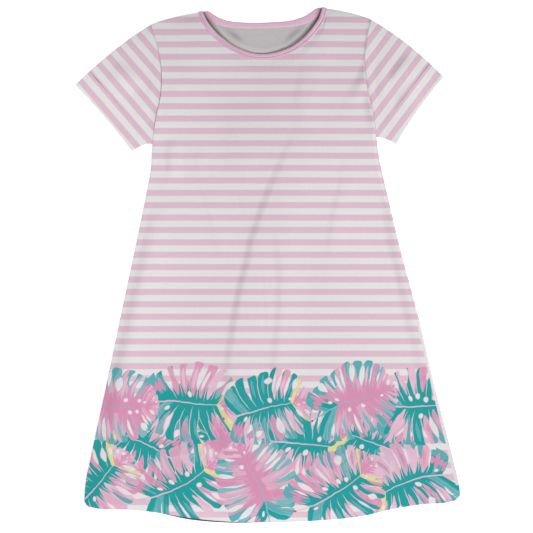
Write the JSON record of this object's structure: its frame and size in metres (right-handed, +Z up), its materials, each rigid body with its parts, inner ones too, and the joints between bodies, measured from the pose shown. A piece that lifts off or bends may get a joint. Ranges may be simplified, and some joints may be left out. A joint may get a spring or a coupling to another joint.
{
  "type": "a-line dress",
  "caption": "Child's short-sleeved A-line dress in thin cotton jersey, round neck with a narrow binding, flared to the hem, laid flat on its back.",
  "frame": {"origin": "on the surface that the dress lies on, under the middle of its outline", "axes": "+X across the dress to the viewer's right when seen from above, +Y from the hem up to the shoulders, +Z up from the surface, through the back layer to the front layer"},
  "size_m": [0.4931, 0.6627, 0.0059],
  "materials": {
    "printed_jersey": "thin cotton jersey, matt, printed with narrow pink and white stripes and a border of teal and pink leaves",
    "pink_binding": "plain pink cotton jersey, folded and stitched"
  },
  "bodies": {
    "root": {"front_panel": "printed_jersey", "back_panel": "printed_jersey", "sleeve_left": "printed_jersey", "sleeve_right": "printed_jersey", "neck_binding": "pink_binding"}
  },
  "joints": []
}
